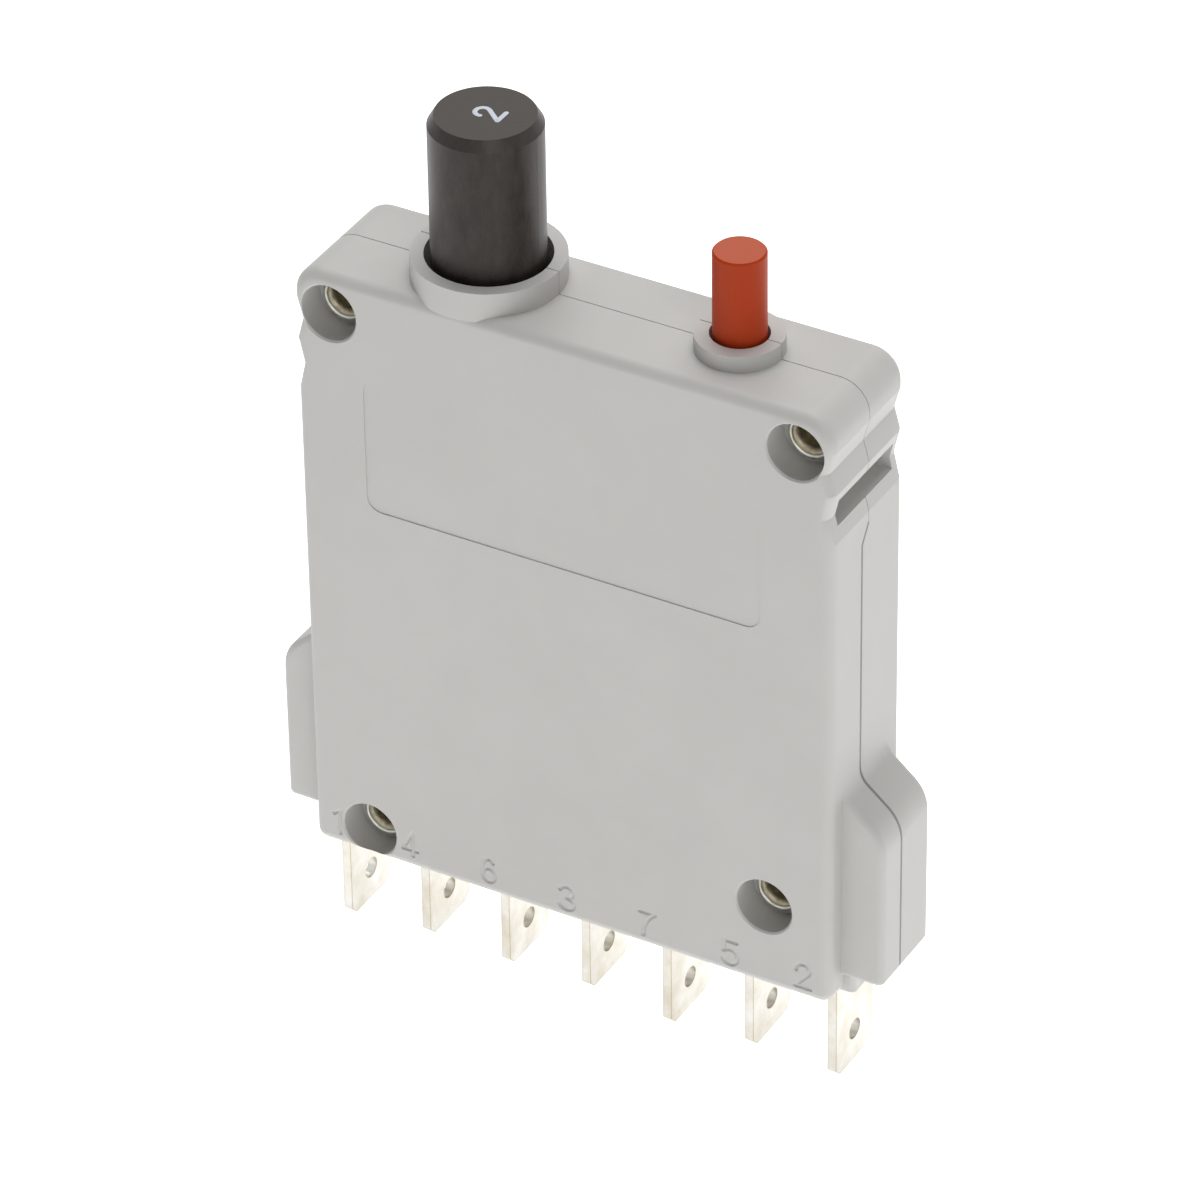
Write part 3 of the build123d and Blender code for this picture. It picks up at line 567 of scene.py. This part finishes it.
front = cleaned(nodes["front_shell"].data)
plain_front = add_piece("plain_front", to_mesh(front, "plain_front"))
engraving = plain_front.modifiers.new("engraving", "BOOLEAN")
engraving.operation = "DIFFERENCE"
engraving.solver = "EXACT"
engraving.object = number_cutter
engraved = cleaned(evaluated_mesh(plain_front, "engraved"))
bpy.data.objects.remove(plain_front)
bpy.data.objects.remove(number_cutter)
add_shell("numbered_front", engraved, "front_shell")

# Back shell as it is in the frame, without the mesher's slivers
add_shell("merged_back", cleaned(nodes["back_shell"].data), "back_shell")

# Rating printed on top of the reset button, read along the depth of the housing
button_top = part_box("reset_button")[1][2]
flatten = Matrix.Diagonal((1, 1, RATING_THICKNESS / RATING_STROKE, 1))
rating_place = Matrix.Translation((RATING_PLACE[0] * MM, RATING_PLACE[1] * MM, button_top))
quarter_turn = Matrix.Rotation(math.radians(90), 4, "Z")
rating_shape = stroked(RATING_NUMBER, RATING_STROKE, rating_place @ quarter_turn @ flatten)
smooth_within(rating_shape, RATING_CREASE)
rating_mesh = to_mesh(rating_shape, "printed_rating")
printed_rating = add_piece("printed_rating", rating_mesh, pad_printed_ink)
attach(printed_rating, "reset_button")

# Rivets with a rolled rim that flares out of the bore
rim_y, head_y = (corner[1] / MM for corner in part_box("housing_rivets"))
roll_turns = [math.pi * (1 - step / ROLL_STEPS) for step in range(ROLL_STEPS + 1)]
flare_turns = [math.pi / 2 * step / ROLL_STEPS for step in range(ROLL_STEPS + 1)]
roll_middle = RIVET_FLANGE - ROLL_RADIUS
flare_reach = roll_middle - ROLL_RADIUS - RIVET_BORE
rivet_profile = [
    (0.0, rim_y + RIVET_BORE_DEPTH),
    (RIVET_BORE * BORE_FLOOR_SHARE, rim_y + RIVET_BORE_DEPTH),
    (RIVET_BORE, rim_y + RIVET_BORE_DEPTH - RIVET_CHAMFER),
]
rivet_profile += [
    (
        RIVET_BORE + flare_reach * (1 - math.cos(turn)),
        rim_y + ROLL_RADIUS + RIVET_FLARE_DEPTH * (1 - math.sin(turn)),
    )
    for turn in flare_turns
]
rivet_profile += [
    (roll_middle + ROLL_RADIUS * math.cos(turn), rim_y + ROLL_RADIUS * (1 - math.sin(turn)))
    for turn in roll_turns[1:]
]
rivet_profile += [
    (RIVET_FLANGE, rim_y + RIVET_FLANGE_THICK),
    (RIVET_SHANK, rim_y + RIVET_FLANGE_THICK),
    (RIVET_SHANK, head_y - RIVET_FLANGE_THICK),
    (RIVET_FLANGE, head_y - RIVET_FLANGE_THICK),
    (RIVET_FLANGE, head_y - RIVET_CHAMFER),
    (RIVET_FLANGE - RIVET_CHAMFER, head_y),
    (0.0, head_y),
]
rivet_shape = bmesh.new()
for rivet_x, rivet_z in RIVET_PLACES:
    ring = [
        rivet_shape.verts.new(((rivet_x + radius) * MM, y * MM, rivet_z * MM))
        for radius, y in rivet_profile
    ]
    profile_edges = [rivet_shape.edges.new(pair) for pair in zip(ring, ring[1:])]
    bmesh.ops.spin(
        rivet_shape, geom=ring + profile_edges, angle=math.tau, steps=RIVET_STEPS,
        axis=(0, 1, 0), cent=(rivet_x * MM, 0, rivet_z * MM), use_merge=True,
    )
bmesh.ops.remove_doubles(rivet_shape, verts=rivet_shape.verts, dist=RIVET_MERGE * MM)
bmesh.ops.recalc_face_normals(rivet_shape, faces=rivet_shape.faces)
smooth_within(rivet_shape, RIVET_CREASE)
for face in rivet_shape.faces:
    face_middle = face.calc_center_median()
    from_axis = min(
        math.hypot(face_middle.x - x * MM, face_middle.z - z * MM) for x, z in RIVET_PLACES
    )
    in_bore = from_axis < (roll_middle - ROLL_RADIUS) * MM and face_middle.y < 0
    face.material_index = int(in_bore)
rivets_mesh = to_mesh(rivet_shape, "rolled_rivets")
rolled_rivets = add_piece("rolled_rivets", rivets_mesh, nickel_plated_steel, browned_steel)
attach(rolled_rivets, "housing")
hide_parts("housing_rivets")

# Springs, copied from their CAD nodes and hung on their bodies. Each copy brings the material of
# its CAD node.
for node, (body, joint, held_end, travel) in SPRINGS.items():
    spring = add_piece("flexing_" + node, nodes[node].data.copy())
    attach(spring, body)
    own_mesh(spring)
    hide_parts(node)

# Floor: a studio sweep, white and lit from below so that it stays white under the part
floor_shape = bmesh.new()
bmesh.ops.create_grid(floor_shape, x_segments=1, y_segments=1, size=FLOOR_HALF)
floor_z = cad_bounds[0][2] - FLOOR_DEPTH * MM
bmesh.ops.translate(floor_shape, verts=floor_shape.verts, vec=(0, 0, floor_z))
floor_paint = bpy.data.materials.new("floor_paint")
floor_paint.use_nodes = True
floor_tree = floor_paint.node_tree
floor_tree.nodes.clear()
paint = add_node(floor_tree, "ShaderNodeBsdfDiffuse", {"Color": colour("#FAFAFA")})
glow = add_node(floor_tree, "ShaderNodeEmission", {"Color": colour("#FFFFFF"), "Strength": 0.9})
lit = add_node(
    floor_tree, "ShaderNodeAddShader", {0: paint.outputs["BSDF"], 1: glow.outputs["Emission"]}
)
add_node(floor_tree, "ShaderNodeOutputMaterial", {"Surface": lit.outputs["Shader"]})
floor = add_piece("floor", to_mesh(floor_shape, "floor"), floor_paint)

# World: white to the camera, in reflections and through glass, and no light on matt surfaces
world = bpy.data.worlds.new("studio")
bpy.context.scene.world = world
world.use_nodes = True
sky = world.node_tree
sky.nodes.clear()
path = add_node(sky, "ShaderNodeLightPath")
seen = add_node(
    sky, "ShaderNodeMath",
    {0: path.outputs["Is Camera Ray"], 1: path.outputs["Is Glossy Ray"]}, operation="MAXIMUM",
)
shown = add_node(
    sky, "ShaderNodeMath",
    {0: seen.outputs[0], 1: path.outputs["Is Transmission Ray"]}, operation="MAXIMUM",
)
dark_sky = add_node(sky, "ShaderNodeBackground", {"Color": colour("#FFFFFF"), "Strength": 0.0})
white_sky = add_node(sky, "ShaderNodeBackground", {"Color": colour("#FFFFFF"), "Strength": 1.0})
chosen = add_node(
    sky, "ShaderNodeMixShader",
    {
        0: shown.outputs[0], 1: dark_sky.outputs["Background"],
        2: white_sky.outputs["Background"],
    },
)
add_node(sky, "ShaderNodeOutputWorld", {"Surface": chosen.outputs["Shader"]})

# Softboxes
for softbox, (softbox_place, width, power) in SOFTBOXES.items():
    add_softbox(softbox, softbox_place, width, power)

# Camera
lens = bpy.data.cameras.new("camera")
lens.sensor_width = CAMERA_SENSOR
lens.lens = CAMERA_LENS
lens.shift_x, lens.shift_y = CAMERA_SHIFT
lens.clip_start = CAMERA_CLIP * MM
camera = bpy.data.objects.new("camera", lens)
axes = Matrix((CAMERA_RIGHT, CAMERA_UP, CAMERA_BACK)).transposed().to_4x4()
camera.matrix_world = Matrix.Translation(Vector(CAMERA_PLACE) * MM) @ axes
bpy.context.scene.collection.objects.link(camera)
bpy.context.scene.camera = camera
bpy.context.scene.view_settings.view_transform = "Standard"
